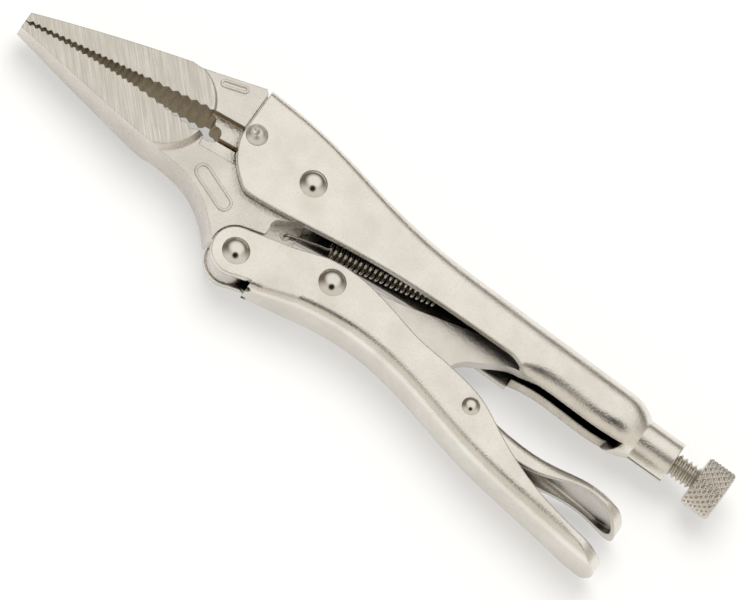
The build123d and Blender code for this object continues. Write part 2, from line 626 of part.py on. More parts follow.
LEVER_STATIONS = [
    (LEVER_NOSE_X - 2, -14.6, -34.0, LEVER_WIDTH, 1.8, 0),
    (45.0, -15.2, -34.0, LEVER_WIDTH, 1.8, 0),
    (50.0, -15.9, -34.0, LEVER_WIDTH, 1.8, 0),
    (56.0, -16.9, -34.0, LEVER_WIDTH, 2.0, 0),
    (61.0, -17.2, -34.0, LEVER_WIDTH, 2.2, 0),
    (65.5, -17.05, -34.0, LEVER_WIDTH + 0.1, 2.4, 0),
    (70.5, -16.65, -34.0, (LEVER_WIDTH + LEVER_TAIL_WIDTH) / 2, 2.6, 0),
    (76.0, -16.4, -34.0, LEVER_TAIL_WIDTH, 2.2, 0),
    (81.0, -16.9, -34.0, LEVER_TAIL_WIDTH, 2.0, 0),
    (LEVER_TAIL_X + 1, -19.4, -34.0, LEVER_TAIL_WIDTH, 2.0, 0),
]


def make_release_lever():
    """Pressed lever: a nose under the link, two walls round its rivet and a paddle tail."""
    tail_low = (LEVER_TAIL_X, -21.2)
    side = make_face([
        Polyline((LEVER_NOSE_X, -10), (LEVER_NOSE_X, -16.4), (44.0, -17.0)),
        Spline((44.0, -17.0), (48.7, -20.3), (55.0, -20.9), tangents=[(1, -0.5), (1, 0)]),
        Spline((55.0, -20.9), (62.0, -21.0), (66.8, -20.4), (70.5, -19.4), (74.5, -18.5), (79.0, -18.6),
               tail_low, tangents=[(1, 0), (1, -0.6)]),
        Line(tail_low, (LEVER_TAIL_X, -10)),
        Line((LEVER_TAIL_X, -10), (LEVER_NOSE_X, -10)),
    ])
    inside = tail_plan(LEVER_TAIL_X - LEVER_SHEET, LEVER_TAIL_WIDTH - 2 * LEVER_SHEET, 0)
    lever = skin(LEVER_STATIONS) & slab(side, WIDE)
    lever -= skin(inset(LEVER_STATIONS, LEVER_SHEET, bottom=False)) & inside
    lever &= tail_plan(LEVER_TAIL_X, LEVER_TAIL_WIDTH, 0)
    return lever - hole(LEVER_PIVOT, LEVER_RIVET_SHANK_R + PIN_PLAY)


# Toggle link

def make_toggle_link():
    """Flat forged strut from the lower handle to the screw, with a heel that the lever's nose lifts."""
    end_at = (LINK_END_X - LINK_END_R, SCREW_Y)
    end_top = (end_at[0] - 0.5, end_at[1] + LINK_END_R)
    end_low = (end_at[0], end_at[1] - LINK_END_R)
    hub_top = (LINK_PIVOT[0] - 0.6, LINK_PIVOT[1] + LINK_HUB_R - 0.1)
    hub_low = (LINK_PIVOT[0] + 0.8, LINK_PIVOT[1] - LINK_HUB_R + 0.1)
    heel = (41.2, -12.4)
    neck = (52.9, SCREW_Y - 3.4)
    web = make_face([
        Line(hub_top, (26.0, -8.0)),
        Line((26.0, -8.0), end_top),
        ThreePointArc(end_top, (LINK_END_X, SCREW_Y), end_low),
        Line(end_low, neck),
        Spline(neck, (46.0, -8.0), heel, tangents=[(-1, -0.1), (-0.35, -1)]),
        Line(heel, hub_low),
        Line(hub_low, hub_top),
    ])
    hub = hole(LINK_PIVOT, LINK_HUB_R, LINK_HUB_WIDTH)
    link = slab(web + disc(LINK_PIVOT, LINK_HUB_R), LINK_THICKNESS) + hub
    return link - hole(LINK_PIVOT, RIVET_SHANK_R + PIN_PLAY)


# Adjusting screw and knob

def make_screw_tip():
    """The screw's plain thrust end, domed where the link bears on it."""
    radius = SCREW_CORE_R
    dome_x = SCREW_TIP_X + SCREW_TIP_DOME_H
    tip = bar(dome_x, SCREW_ROD_X - PIN_PLAY, radius)
    return tip + Pos(dome_x, SCREW_Y, 0) * Rot(0, -90, 0) * dome(radius, SCREW_TIP_DOME_H)


def make_adjusting_screw():
    """Threaded rod with a plain stub that the knob is pressed on."""
    stub = bar(KNOB_FROM_X, KNOB_FROM_X + KNOB_LENGTH, KNOB_STUB_R)
    rod = bar(SCREW_ROD_X, KNOB_FROM_X, SCREW_CORE_R) + stub
    thread_from = SCREW_ROD_X + THREAD_PITCH
    thread_to = KNOB_FROM_X + THREAD_PITCH
    path = Helix(THREAD_PITCH, thread_to - thread_from, SCREW_CORE_R, center=(thread_from, SCREW_Y, 0),
                 direction=(1, 0, 0))
    start = path @ 0
    outward = Vector(0, start.Y - SCREW_Y, start.Z).normalized()
    root = 0.44 * THREAD_PITCH
    crest = 0.08 * THREAD_PITCH
    sunk = 0.15
    ridge = make_face(Polyline((-sunk, -root), (0, -root), (THREAD_DEPTH, -crest), (THREAD_DEPTH, crest),
                               (0, root), (-sunk, root), close=True))
    thread = sweep(Plane(origin=start, x_dir=outward, z_dir=path % 0) * ridge, path, is_frenet=True)
    thread -= bar(KNOB_FROM_X - PIN_PLAY, thread_to + THREAD_PITCH, 2 * THREAD_MAJOR_R)
    return rod + thread


def make_adjusting_knob():
    """Round knob with rounded ends."""
    knob = bar(KNOB_FROM_X, KNOB_FROM_X + KNOB_LENGTH, KNOB_R)
    knob = fillet(knob.edges().filter_by(GeomType.CIRCLE), KNOB_ROUND)
    return knob - bar(KNOB_FROM_X - 1, KNOB_FROM_X + KNOB_LENGTH + 1, KNOB_STUB_R + SEAT_PLAY)


# Return spring

def biarc(p0, t0, p1, t1):
    """Two arcs that join p0 to p1 with the tangents given."""
    v = p1 - p0
    t = t0 + t1
    k = 2 * (1 - t0.dot(t1))
    d = (-v.dot(t) + sqrt(v.dot(t) ** 2 + k * v.dot(v))) / k
    q0 = p0 + t0 * d
    q1 = p1 - t1 * d
    middle = (q0 + q1) * 0.5
    return [Edge.make_tangent_arc(p0, t0, middle), Edge.make_tangent_arc(middle, (q1 - q0).normalized(), p1)]


def spring_path():
    """Centre line of the spring: front hook, close coil and rear hook, as lines and arcs."""
    lean = radians(SPRING_SLOPE)
    along = Vector(cos(lean), sin(lean), 0)
    side = Vector(-sin(lean), cos(lean), 0)
    out = Vector(0, 0, 1)
    origin = Vector(SPRING_FROM[0], SPRING_FROM[1], 0)
    rise = SPRING_PITCH / (2 * pi)

    def coil_point(turn):
        a = 2 * pi * turn
        return origin + along * (SPRING_PITCH * turn) + (out * cos(a) + side * sin(a)) * SPRING_MEAN_R

    def coil_run(turn):
        a = 2 * pi * turn
        return (along * rise + (side * cos(a) - out * sin(a)) * SPRING_MEAN_R).normalized()

    bend = 1.0
    hook = Vector(HOOK_HOLE_AT[0], HOOK_HOLE_AT[1], 0)
    lead_z = SPRING_TAB_THICKNESS / 2 + SPRING_WIRE_R + 0.4
    lead_start = coil_point(0)
    toward = (Vector(lead_start.X, lead_start.Y, 0) - hook).normalized()
    hook_low = hook - out * (SPRING_TAB_THICKNESS / 2 + SPRING_WIRE_R + 0.6)
    hook_top = hook + out * (lead_z - bend)
    lead = hook + out * lead_z + toward * bend
    path = [Edge.make_line(hook_low, hook_top), Edge.make_tangent_arc(hook_top, out, lead)]
    lead_end = lead_start - along * 2.4
    lead_end = Vector(lead_end.X, lead_end.Y - 0.6, lead_z)
    path.append(Edge.make_line(lead, lead_end))
    path += biarc(lead_end, (lead_end - lead).normalized(), lead_start, coil_run(0))
    quarters = 4 * SPRING_TURNS
    for quarter in range(quarters):
        a, b = quarter / 4, (quarter + 1) / 4
        path += biarc(coil_point(a), coil_run(a), coil_point(b), coil_run(b))
    coil_end = coil_point(SPRING_TURNS)
    eye = Vector(SPRING_TAB_X, spring_axis_y(SPRING_TAB_X), 0)
    tail_from = eye - along * 1.9
    path += biarc(coil_end, coil_run(SPRING_TURNS), tail_from, along)
    tail_to = eye + along * 1.3
    path.append(Edge.make_line(tail_from, tail_to))
    path.append(Edge.make_tangent_arc(tail_to, along, tail_to + along * bend - side * bend))
    return path


def make_return_spring():
    """Round wire along the spring's centre line."""
    path = Wire(spring_path())
    start = Plane(origin=path @ 0, z_dir=path % 0)
    return sweep(start * Circle(SPRING_WIRE_R), path)


def print_spring_gap(path):
    """Print the least gap between the spring's wire and itself, measured on points along it."""
    step = SPRING_WIRE_R / 2
    points = []
    for edge in path:
        count = ceil(edge.length / step)
        points += [edge @ (i / count) for i in range(count)]
    beside = ceil(3 * pi * SPRING_WIRE_R / step)
    pairs = ((a, b) for i, a in enumerate(points) for b in points[i + beside:])
    least = min((a - b).length for a, b in pairs)
    print(f"spring: least gap to itself {least - 2 * SPRING_WIRE_R:.2f} mm")


def make_jaw_pin():
    """Staked pin of the fixed jaw: a rounded nub with a punched dimple, and a flat tail on the far side."""
    half = UPPER_WIDTH / 2
    nub = Pos(0, 0, half) * dome(JAW_PIN_NUB_R, JAW_PIN_NUB_H)
    punch_z = half + JAW_PIN_NUB_H - JAW_PIN_DIMPLE_DEPTH + JAW_PIN_DIMPLE_R
    nub -= Pos(-JAW_PIN_DIMPLE_SHIFT, 0, punch_z) * Sphere(JAW_PIN_DIMPLE_R)
    tail = Pos(0, 0, -half) * Rot(180, 0, 0) * dome(JAW_PIN_NUB_R, JAW_PIN_TAIL_H)
    return Pos(*JAW_PIN_AT, 0) * (nub + Cylinder(JAW_PIN_R, UPPER_WIDTH) + tail)


def all_parts():
    """Every piece in the modelling frame, by name."""
    return {
        "upper_handle": make_upper_handle(),
        "upper_jaw": make_upper_jaw(),
        "jaw_pin": make_jaw_pin(),
        "main_rivet": rivet(MAIN_PIVOT, UPPER_WIDTH, RIVET_SHANK_R, RIVET_HEAD_R, RIVET_HEAD_H),
        "lower_jaw": make_lower_jaw(),
        "lower_handle": make_lower_handle(),
        "handle_rivet": rivet(HANDLE_PIVOT, PINCH_WIDTH, RIVET_SHANK_R, RIVET_HEAD_R, RIVET_HEAD_H),
        "link_rivet": rivet(LINK_PIVOT, LOWER_WIDTH, RIVET_SHANK_R, RIVET_HEAD_R, RIVET_HEAD_H),
        "toggle_link": make_toggle_link(),
        "release_lever": make_release_lever(),
        "lever_rivet": rivet(
            LEVER_PIVOT, LOWER_WIDTH, LEVER_RIVET_SHANK_R, LEVER_RIVET_HEAD_R, LEVER_RIVET_HEAD_H),
        "return_spring": make_return_spring(),
        "adjusting_screw": make_adjusting_screw(),
        "adjusting_knob": make_adjusting_knob(),
        "screw_tip": make_screw_tip(),
    }


PARTS = all_parts()
BOX = Compound(children=[Compound(part.solids()) for part in PARTS.values()]).bounding_box()
SHIFT = Pos(-BOX.center().X, -BOX.center().Y, -BOX.min.Z)

os.makedirs("parts", exist_ok=True)
for name, part in PARTS.items():
    export_step(SHIFT * Compound(part.solids()), f"parts/{name}.step")
print_spring_gap(spring_path())
print("size", [round(v, 2) for v in (BOX.size.X, BOX.size.Y, BOX.size.Z)])
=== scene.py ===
"""Looks of the long-nose locking pliers: metal finishes, knurled knob, return spring and a plain studio.

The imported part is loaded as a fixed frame, in metres. Its nodes keep their meshes and take procedural
finishes, apart from the knob and the spring, which are replaced by new surfaces.
"""

from __future__ import annotations

import json
import logging
import math
from dataclasses import dataclass, field
from enum import Enum
from typing import Any, ClassVar

import bpy
import numpy as np
from mathutils import Matrix, Vector

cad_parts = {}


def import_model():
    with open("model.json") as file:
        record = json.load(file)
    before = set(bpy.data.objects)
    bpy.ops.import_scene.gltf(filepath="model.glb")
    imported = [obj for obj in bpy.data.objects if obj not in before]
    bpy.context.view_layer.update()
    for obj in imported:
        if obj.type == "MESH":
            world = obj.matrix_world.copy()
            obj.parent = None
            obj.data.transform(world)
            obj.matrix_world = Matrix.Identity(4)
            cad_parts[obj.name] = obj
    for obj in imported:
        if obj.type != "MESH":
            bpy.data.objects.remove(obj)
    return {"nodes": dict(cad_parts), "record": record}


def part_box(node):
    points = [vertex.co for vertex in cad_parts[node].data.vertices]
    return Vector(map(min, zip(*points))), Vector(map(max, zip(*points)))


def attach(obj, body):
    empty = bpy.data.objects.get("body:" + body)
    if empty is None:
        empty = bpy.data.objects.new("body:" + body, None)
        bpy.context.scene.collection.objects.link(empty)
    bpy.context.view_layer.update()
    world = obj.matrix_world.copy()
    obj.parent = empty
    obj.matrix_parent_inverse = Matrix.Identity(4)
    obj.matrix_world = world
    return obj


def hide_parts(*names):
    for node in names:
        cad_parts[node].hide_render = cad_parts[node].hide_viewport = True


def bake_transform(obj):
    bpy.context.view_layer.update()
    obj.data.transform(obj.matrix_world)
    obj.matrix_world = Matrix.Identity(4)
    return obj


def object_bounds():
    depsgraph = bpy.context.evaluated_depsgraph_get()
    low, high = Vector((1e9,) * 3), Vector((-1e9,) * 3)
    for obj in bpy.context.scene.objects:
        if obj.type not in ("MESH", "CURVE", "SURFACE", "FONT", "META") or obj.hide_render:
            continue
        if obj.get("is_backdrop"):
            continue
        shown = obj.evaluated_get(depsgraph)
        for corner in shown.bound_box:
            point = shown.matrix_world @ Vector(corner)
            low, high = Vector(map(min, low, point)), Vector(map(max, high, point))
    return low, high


Tree = bpy.types.NodeTree
Socket = bpy.types.NodeSocket
Point = tuple[float, float, float]

LOG = logging.getLogger("pliers")
MM = 0.001
FULL_TURN = 2 * math.pi
# The photograph's width in pixels, and the camera's sensor in millimetres.
IMAGE_WIDTH = 747
SENSOR_WIDTH = 36.0

# Sockets of a Mix node, which has one set for each kind of data.
FACTOR = 0
COLOUR_A, COLOUR_B, COLOUR_OUT = 6, 7, 2
VECTOR_A, VECTOR_B, VECTOR_OUT = 4, 5, 1


def linear(hex_colour: str) -> tuple[float, float, float, float]:
    """Turn an sRGB hex colour into linear RGBA.

    The sRGB curve is a straight line near black and a power of 2.4 above it.

    Args:
        hex_colour: Six hex digits with a leading hash.

    Returns:
        Red, green and blue on the linear scale, and an alpha of one.
    """
    parts = np.array([int(hex_colour[i:i + 2], 16) for i in (1, 3, 5)]) / 255
    low = parts / 12.92
    high = ((parts + 0.055) / 1.055) ** 2.4
    red, green, blue = np.where(parts <= 0.04045, low, high)
    return float(red), float(green), float(blue), 1.0


def add_node(tree: Tree, kind: str, inputs: dict[str | int, Any], **settings: Any) -> bpy.types.Node:
    """Add a node to a tree with its settings, values and links.

    Args:
        tree: Node tree that takes the node.
        kind: Blender's type name of the node.
        inputs: Value, or the socket that feeds it, for each input by name or number.
        **settings: Properties of the node.

    Returns:
        The new node.
    """
    node = tree.nodes.new(kind)
    for key, value in settings.items():
        setattr(node, key, value)
    for key, value in inputs.items():
        if isinstance(value, bpy.types.NodeSocket):
            tree.links.new(value, node.inputs[key])
        else:
            node.inputs[key].default_value = value
    return node


def grid_object(name: str, points: np.ndarray, closed_along: bool) -> bpy.types.Object:
    """Make a mesh object from a grid of points whose rings are closed.

    Each face joins two neighbours on one ring to the same two on the next ring.

    Args:
        name: Name of the object and of its mesh.
        points: Array of shape (rings, points per ring, 3), in metres.
        closed_along: Whether the last ring joins the first. If not, each end gets a cap.

    Returns:
        The linked object, smooth shaded.
    """
    rings, sides, _ = points.shape
    index = np.arange(rings * sides).reshape(rings, sides)
    if closed_along:
        index = np.vstack([index, index[:1]])
    near = index[:-1]
    far = index[1:]
    quads = np.stack([near, np.roll(near, -1, axis=1), np.roll(far, -1, axis=1), far], axis=-1)
    faces = quads.reshape(-1, 4).tolist()
    if not closed_along:
        faces += [index[0, ::-1].tolist(), index[-1].tolist()]
    mesh = bpy.data.meshes.new(name)
    mesh.from_pydata(points.reshape(-1, 3).tolist(), [], faces)
    mesh.polygons.foreach_set("use_smooth", np.ones(len(mesh.polygons), dtype=bool))
    mesh.update()
    piece = bpy.data.objects.new(name, mesh)
    bpy.context.scene.collection.objects.link(piece)
    return piece


class Grain(Enum):
    """How the surface of a metal piece was left by its last operation."""

    PRESSED = "pressed sheet, plated"
    FORGED = "forged, plated, with ground nose faces"
    TURNED = "turned or rolled round work"


@dataclass(frozen=True)
class Pattern:
    """A noise pattern in the plating's colour.

    Attributes:
        width: Width of its features, in millimetres.
        detail: Octaves of finer noise.
        start: Noise value at which it starts.
        whole: Noise value at which it is whole.
        strength: Its share of the colour where it is whole.
    """

    width: float
    detail: float
    start: float
    whole: float
    strength: float


@dataclass(frozen=True)
class MetalFinish:
    """A plated or polished steel finish. Lengths are millimetres.

    Attributes:
        name: Material's name, for the metal and how its surface was made.
        surface: Main colour.
        shade: Colour of its clouds and specks.
        crevice: Colour of the painted shade laid over sheltered places, where the piece shades itself.
        roughness: Mean roughness.
        roughness_spread: How far the patches stray from the mean.
        pebble: Width of the plating's pebble.
        pebble_depth: Height of the pebble.
        edge: Radius that rounds the edges.
        crevice_reach: How far off a wall still shelters a place and darkens it with painted shade.
        crevice_from: Share of open view at which the painted shade starts. It is whole at half that share.
        grain: What the last operation left.
    """

    name: str
    surface: str
    shade: str
    crevice: str
    roughness: float
    roughness_spread: float
    pebble: float
    pebble_depth: float
    edge: float
    crevice_reach: float
    crevice_from: float
    grain: Grain

    CLOUDS: ClassVar[Pattern] = Pattern(width=7.0, detail=3.0, start=0.35, whole=0.70, strength=0.40)
    SPECKS: ClassVar[Pattern] = Pattern(width=0.35, detail=2.0, start=0.52, whole=0.75, strength=0.32)
    # Share of the painted shade in the colour where it is whole.
    FILM_STRENGTH: ClassVar[float] = 0.97
    # Patches of other roughness, and the noise values between which they pass from smooth to rough.
    PATCH_MM: ClassVar[float] = 3.0
    PATCH_DETAIL: ClassVar[float] = 4.0
    PATCH_BAND: ClassVar[tuple[float, float]] = (0.30, 0.70)
    PEBBLE_DETAIL: ClassVar[float] = 3.0
    PEBBLE_ROUGHNESS: ClassVar[float] = 0.55
    # The ground faces' scratches are finer than a picture element, so they are drawn this coarse to show.
    SCRATCH_ACROSS_MM: ClassVar[float] = 0.24
    SCRATCH_ALONG_MM: ClassVar[float] = 10.0
    SCRATCH_TURN: ClassVar[float] = math.radians(42)
    SCRATCH_DEPTH_MM: ClassVar[float] = 0.008
    SCRATCH_DETAIL: ClassVar[float] = 3.0
    SCRATCH_ROUGHNESS: ClassVar[float] = 0.6
    SCRATCH_SHADE: ClassVar[str] = "#BDB7AC"
    SCRATCH_BAND: ClassVar[tuple[float, float]] = (0.66, 0.38)
    SCRATCH_STRENGTH: ClassVar[float] = 0.80
    # The ground faces lean by more than this towards the tip and are otherwise near level.
    GROUND_LEAN: ClassVar[float] = -0.04
    GROUND_LEVEL: ClassVar[float] = 0.95
    # The bite faces are left as cut and keep a brown film of oil. Places are from the main rivet.
    BITE_SURFACE: ClassVar[str] = "#8E7C58"
    BITE_TIP_MM: ClassVar[tuple[float, float]] = (-62.4, -5.6)
    BITE_THROAT_MM: ClassVar[tuple[float, float]] = (-24.2, -2.3)
    BITE_REACH_MM: ClassVar[float] = 6.5
    BITE_TO_MM: ClassVar[float] = -15.5
    BITE_FACING_MM: ClassVar[float] = -0.02
    BITE_LEAN: ClassVar[float] = 0.5
    # Rays that each shaded point sends out to find shelter and edges.
    SHELTER_SAMPLES: ClassVar[int] = 8
    EDGE_SAMPLES: ClassVar[int] = 6

    def build(self, pivot: np.ndarray) -> bpy.types.Material:
        """Make the node material.

        Args:
            pivot: The main rivet's middle, in metres, from which places on the jaws are given.

        Returns:
            A material whose colour, roughness and bump follow the piece's own coordinates.
        """
        material = bpy.data.materials.new(self.name)
        material.use_nodes = True
        tree = material.node_tree
        tree.nodes.clear()
        place = add_node(tree, "ShaderNodeTexCoord", {}).outputs["Object"]
        colour = self._plating(tree, place)
        normal = self._pebbled_normal(tree, place)
        if self.grain is Grain.FORGED:
            ground = self._ground_mask(tree)
            scratches = self._scratches(tree, place)
            colour = self._scratched_colour(tree, colour, ground, scratches)
            colour = self._oiled_colour(tree, colour, self._bite_mask(tree, place, pivot))
            normal = self._scratched_normal(tree, normal, ground, scratches)
        # Painted shade: sheltered places are darkened in the colour, where only shade falls.
        colour = self._crevice_film(tree, colour)
        roughness = self._patchy_roughness(tree, place)
        shader = add_node(tree, "ShaderNodeBsdfPrincipled", {
            "Base Color": colour, "Metallic": 1.0, "Roughness": roughness, "Normal": normal})
        add_node(tree, "ShaderNodeOutputMaterial", {"Surface": shader.outputs["BSDF"]})
        return material

    def _plating(self, tree: Tree, place: Socket) -> Socket:
        """Colour the plating with broad clouds, then fine specks, of the shade.

        Args:
            tree: The material's node tree.
            place: The piece's own coordinates.

        Returns:
            The colour.
        """
        colour: Any = linear(self.surface)
        for pattern in (self.CLOUDS, self.SPECKS):
            noise = add_node(tree, "ShaderNodeTexNoise", {
                "Vector": place, "Scale": 1 / (pattern.width * MM), "Detail": pattern.detail})
            share = add_node(tree, "ShaderNodeMapRange", {
                "Value": noise.outputs["Fac"], "From Min": pattern.start, "From Max": pattern.whole,
                "To Max": pattern.strength})
            colour = add_node(tree, "ShaderNodeMix", {
                FACTOR: share.outputs["Result"], COLOUR_A: colour, COLOUR_B: linear(self.shade)},
                data_type="RGBA").outputs[COLOUR_OUT]
        return colour

    def _crevice_film(self, tree: Tree, colour: Socket) -> Socket:
        """Paint shade into the colour: darken it towards a dark tone where the piece shelters itself.

        Args:
            tree: The material's node tree.
            colour: Colour of the open surface.

        Returns:
            The colour with its painted shade.
        """
        shelter = add_node(tree, "ShaderNodeAmbientOcclusion", {"Distance": self.crevice_reach * MM},
                           only_local=True, samples=self.SHELTER_SAMPLES)
        painted_shade_share = add_node(tree, "ShaderNodeMapRange", {
            "Value": shelter.outputs["AO"], "From Min": self.crevice_from,
            "From Max": self.crevice_from / 2, "To Max": self.FILM_STRENGTH})
        return add_node(tree, "ShaderNodeMix", {
            FACTOR: painted_shade_share.outputs["Result"], COLOUR_A: colour, COLOUR_B: linear(self.crevice)},
            data_type="RGBA").outputs[COLOUR_OUT]

    def _patchy_roughness(self, tree: Tree, place: Socket) -> Socket:
        """Spread the roughness about its mean in patches.

        Args:
            tree: The material's node tree.
            place: The piece's own coordinates.

        Returns:
            The roughness.
        """
        patches = add_node(tree, "ShaderNodeTexNoise", {
            "Vector": place, "Scale": 1 / (self.PATCH_MM * MM), "Detail": self.PATCH_DETAIL})
        return add_node(tree, "ShaderNodeMapRange", {
            "Value": patches.outputs["Fac"], "From Min": self.PATCH_BAND[0], "From Max": self.PATCH_BAND[1],
            "To Min": self.roughness - self.roughness_spread,
            "To Max": self.roughness + self.roughness_spread}).outputs["Result"]

    def _rounded_edges(self, tree: Tree) -> Socket:
        """Normal that rounds the piece's edges."""
        return add_node(tree, "ShaderNodeBevel", {"Radius": self.edge * MM},
                        samples=self.EDGE_SAMPLES).outputs["Normal"]

    def _pebbled_normal(self, tree: Tree, place: Socket) -> Socket:
        """Round the edges, then raise the plating's pebble.

        Args:
            tree: The material's node tree.
            place: The piece's own coordinates.

        Returns:
            The normal.
        """
        pebble = add_node(tree, "ShaderNodeTexNoise", {
            "Vector": place, "Scale": 1 / (self.pebble * MM), "Detail": self.PEBBLE_DETAIL,
            "Roughness": self.PEBBLE_ROUGHNESS})
        return add_node(tree, "ShaderNodeBump", {
            "Strength": 1.0, "Distance": self.pebble_depth * MM, "Height": pebble.outputs["Fac"],
            "Normal": self._rounded_edges(tree)}).outputs["Normal"]

    def _scratches(self, tree: Tree, place: Socket) -> Socket:
        """Draw noise out along the grinding wheel's path over the nose.

        Args:
            tree: The material's node tree.
            place: The piece's own coordinates.

        Returns:
            Height of the scratches.
        """
        turned = add_node(tree, "ShaderNodeMapping", {
            "Vector": place, "Rotation": (0.0, 0.0, self.SCRATCH_TURN),
            "Scale": (self.SCRATCH_ACROSS_MM * MM, self.SCRATCH_ALONG_MM * MM, MM)}, vector_type="TEXTURE")
        return add_node(tree, "ShaderNodeTexNoise", {
            "Vector": turned.outputs["Vector"], "Scale": 1.0, "Detail": self.SCRATCH_DETAIL,
            "Roughness": self.SCRATCH_ROUGHNESS}).outputs["Fac"]

    def _scratched_colour(self, tree: Tree, colour: Socket, ground: Socket, scratches: Socket) -> Socket:
        """Darken the ground faces along their deeper scratches.

        Args:
            tree: The material's node tree.
            colour: Colour of the plating.
            ground: One on the ground faces.
            scratches: Height of the scratches.

        Returns:
            The colour with its scratches.
        """
        deep = add_node(tree, "ShaderNodeMapRange", {
            "Value": scratches, "From Min": self.SCRATCH_BAND[0], "From Max": self.SCRATCH_BAND[1],
            "To Max": self.SCRATCH_STRENGTH})
        share = add_node(tree, "ShaderNodeMath", {0: deep.outputs["Result"], 1: ground}, operation="MULTIPLY")
        return add_node(tree, "ShaderNodeMix", {
            FACTOR: share.outputs[0], COLOUR_A: colour, COLOUR_B: linear(self.SCRATCH_SHADE)},
            data_type="RGBA").outputs[COLOUR_OUT]

    def _scratched_normal(self, tree: Tree, normal: Socket, ground: Socket, scratches: Socket) -> Socket:
        """Put the scratches' bump in place of the pebble on the ground faces.

        Args:
            tree: The material's node tree.
            normal: Normal of the pebbled surface.
            ground: One on the ground faces.
            scratches: Height of the scratches.

        Returns:
            The normal.
        """
        scratched = add_node(tree, "ShaderNodeBump", {
            "Strength": 1.0, "Distance": self.SCRATCH_DEPTH_MM * MM, "Height": scratches,
            "Normal": self._rounded_edges(tree)})
        return add_node(tree, "ShaderNodeMix", {
            FACTOR: ground, VECTOR_A: normal, VECTOR_B: scratched.outputs["Normal"]},
            data_type="VECTOR").outputs[VECTOR_OUT]

    def _oiled_colour(self, tree: Tree, colour: Socket, bite: Socket) -> Socket:
        """Lay the bite faces' brown over the plating."""
        return add_node(tree, "ShaderNodeMix", {
            FACTOR: bite, COLOUR_A: colour, COLOUR_B: linear(self.BITE_SURFACE)},
            data_type="RGBA").outputs[COLOUR_OUT]

    def _bite_mask(self, tree: Tree, place: Socket, pivot: np.ndarray) -> Socket:
        """Find the faces that look across the bite.

        The bite's middle line runs straight from tip to throat. A face looks across it where its height over
        the line and its normal's Y have opposite signs, so that their product is below nought. It counts
        while it is near the line, stands upright and lies in front of the bite's end.

        Args:
            tree: The material's node tree.
            place: The piece's own coordinates.
            pivot: The main rivet's middle, in metres.

        Returns:
            One on those faces and nought elsewhere.
        """
        tip, throat = (pivot[:2] + np.array(end) * MM for end in (self.BITE_TIP_MM, self.BITE_THROAT_MM))
        slope = float((throat[1] - tip[1]) / (throat[0] - tip[0]))
        level = float(tip[1] - slope * tip[0])
        spot = add_node(tree, "ShaderNodeSeparateXYZ", {"Vector": place})
        normal = add_node(tree, "ShaderNodeNewGeometry", {}).outputs["True Normal"]
        facing = add_node(tree, "ShaderNodeSeparateXYZ", {"Vector": normal})
        line = add_node(tree, "ShaderNodeMath", {0: spot.outputs["X"], 1: slope, 2: level},
                        operation="MULTIPLY_ADD")
        over = add_node(tree, "ShaderNodeMath", {0: spot.outputs["Y"], 1: line.outputs[0]},
                        operation="SUBTRACT")
        across = add_node(tree, "ShaderNodeMath", {0: over.outputs[0], 1: facing.outputs["Y"]},
                          operation="MULTIPLY")
        away = add_node(tree, "ShaderNodeMath", {0: over.outputs[0]}, operation="ABSOLUTE")
        lean = add_node(tree, "ShaderNodeMath", {0: facing.outputs["Z"]}, operation="ABSOLUTE")
        limits = ((across.outputs[0], self.BITE_FACING_MM * MM),
                  (away.outputs[0], self.BITE_REACH_MM * MM),
                  (lean.outputs[0], self.BITE_LEAN),
                  (spot.outputs["X"], float(pivot[0] + self.BITE_TO_MM * MM)))
        mask: Any = 1.0
        for value, limit in limits:
            passed = add_node(tree, "ShaderNodeMath", {0: value, 1: limit}, operation="LESS_THAN")
            mask = add_node(tree, "ShaderNodeMath", {0: passed.outputs[0], 1: mask},
                            operation="MULTIPLY").outputs[0]
        return mask

    def _ground_mask(self, tree: Tree) -> Socket:
        """Find the ground nose faces, which alone lean a few degrees towards the tip.

        Args:
            tree: The material's node tree.

        Returns:
            One on those faces and nought elsewhere.
        """
        normal = add_node(tree, "ShaderNodeNewGeometry", {}).outputs["True Normal"]
        facing = add_node(tree, "ShaderNodeSeparateXYZ", {"Vector": normal})
        leaning = add_node(tree, "ShaderNodeMath", {0: facing.outputs["X"], 1: self.GROUND_LEAN},
                           operation="LESS_THAN")
        height = add_node(tree, "ShaderNodeMath", {0: facing.outputs["Z"]}, operation="ABSOLUTE")
        level = add_node(tree, "ShaderNodeMath", {0: height.outputs[0], 1: self.GROUND_LEVEL},
                         operation="GREATER_THAN")
        return add_node(tree, "ShaderNodeMath", {0: leaning.outputs[0], 1: level.outputs[0]},
                        operation="MULTIPLY").outputs[0]


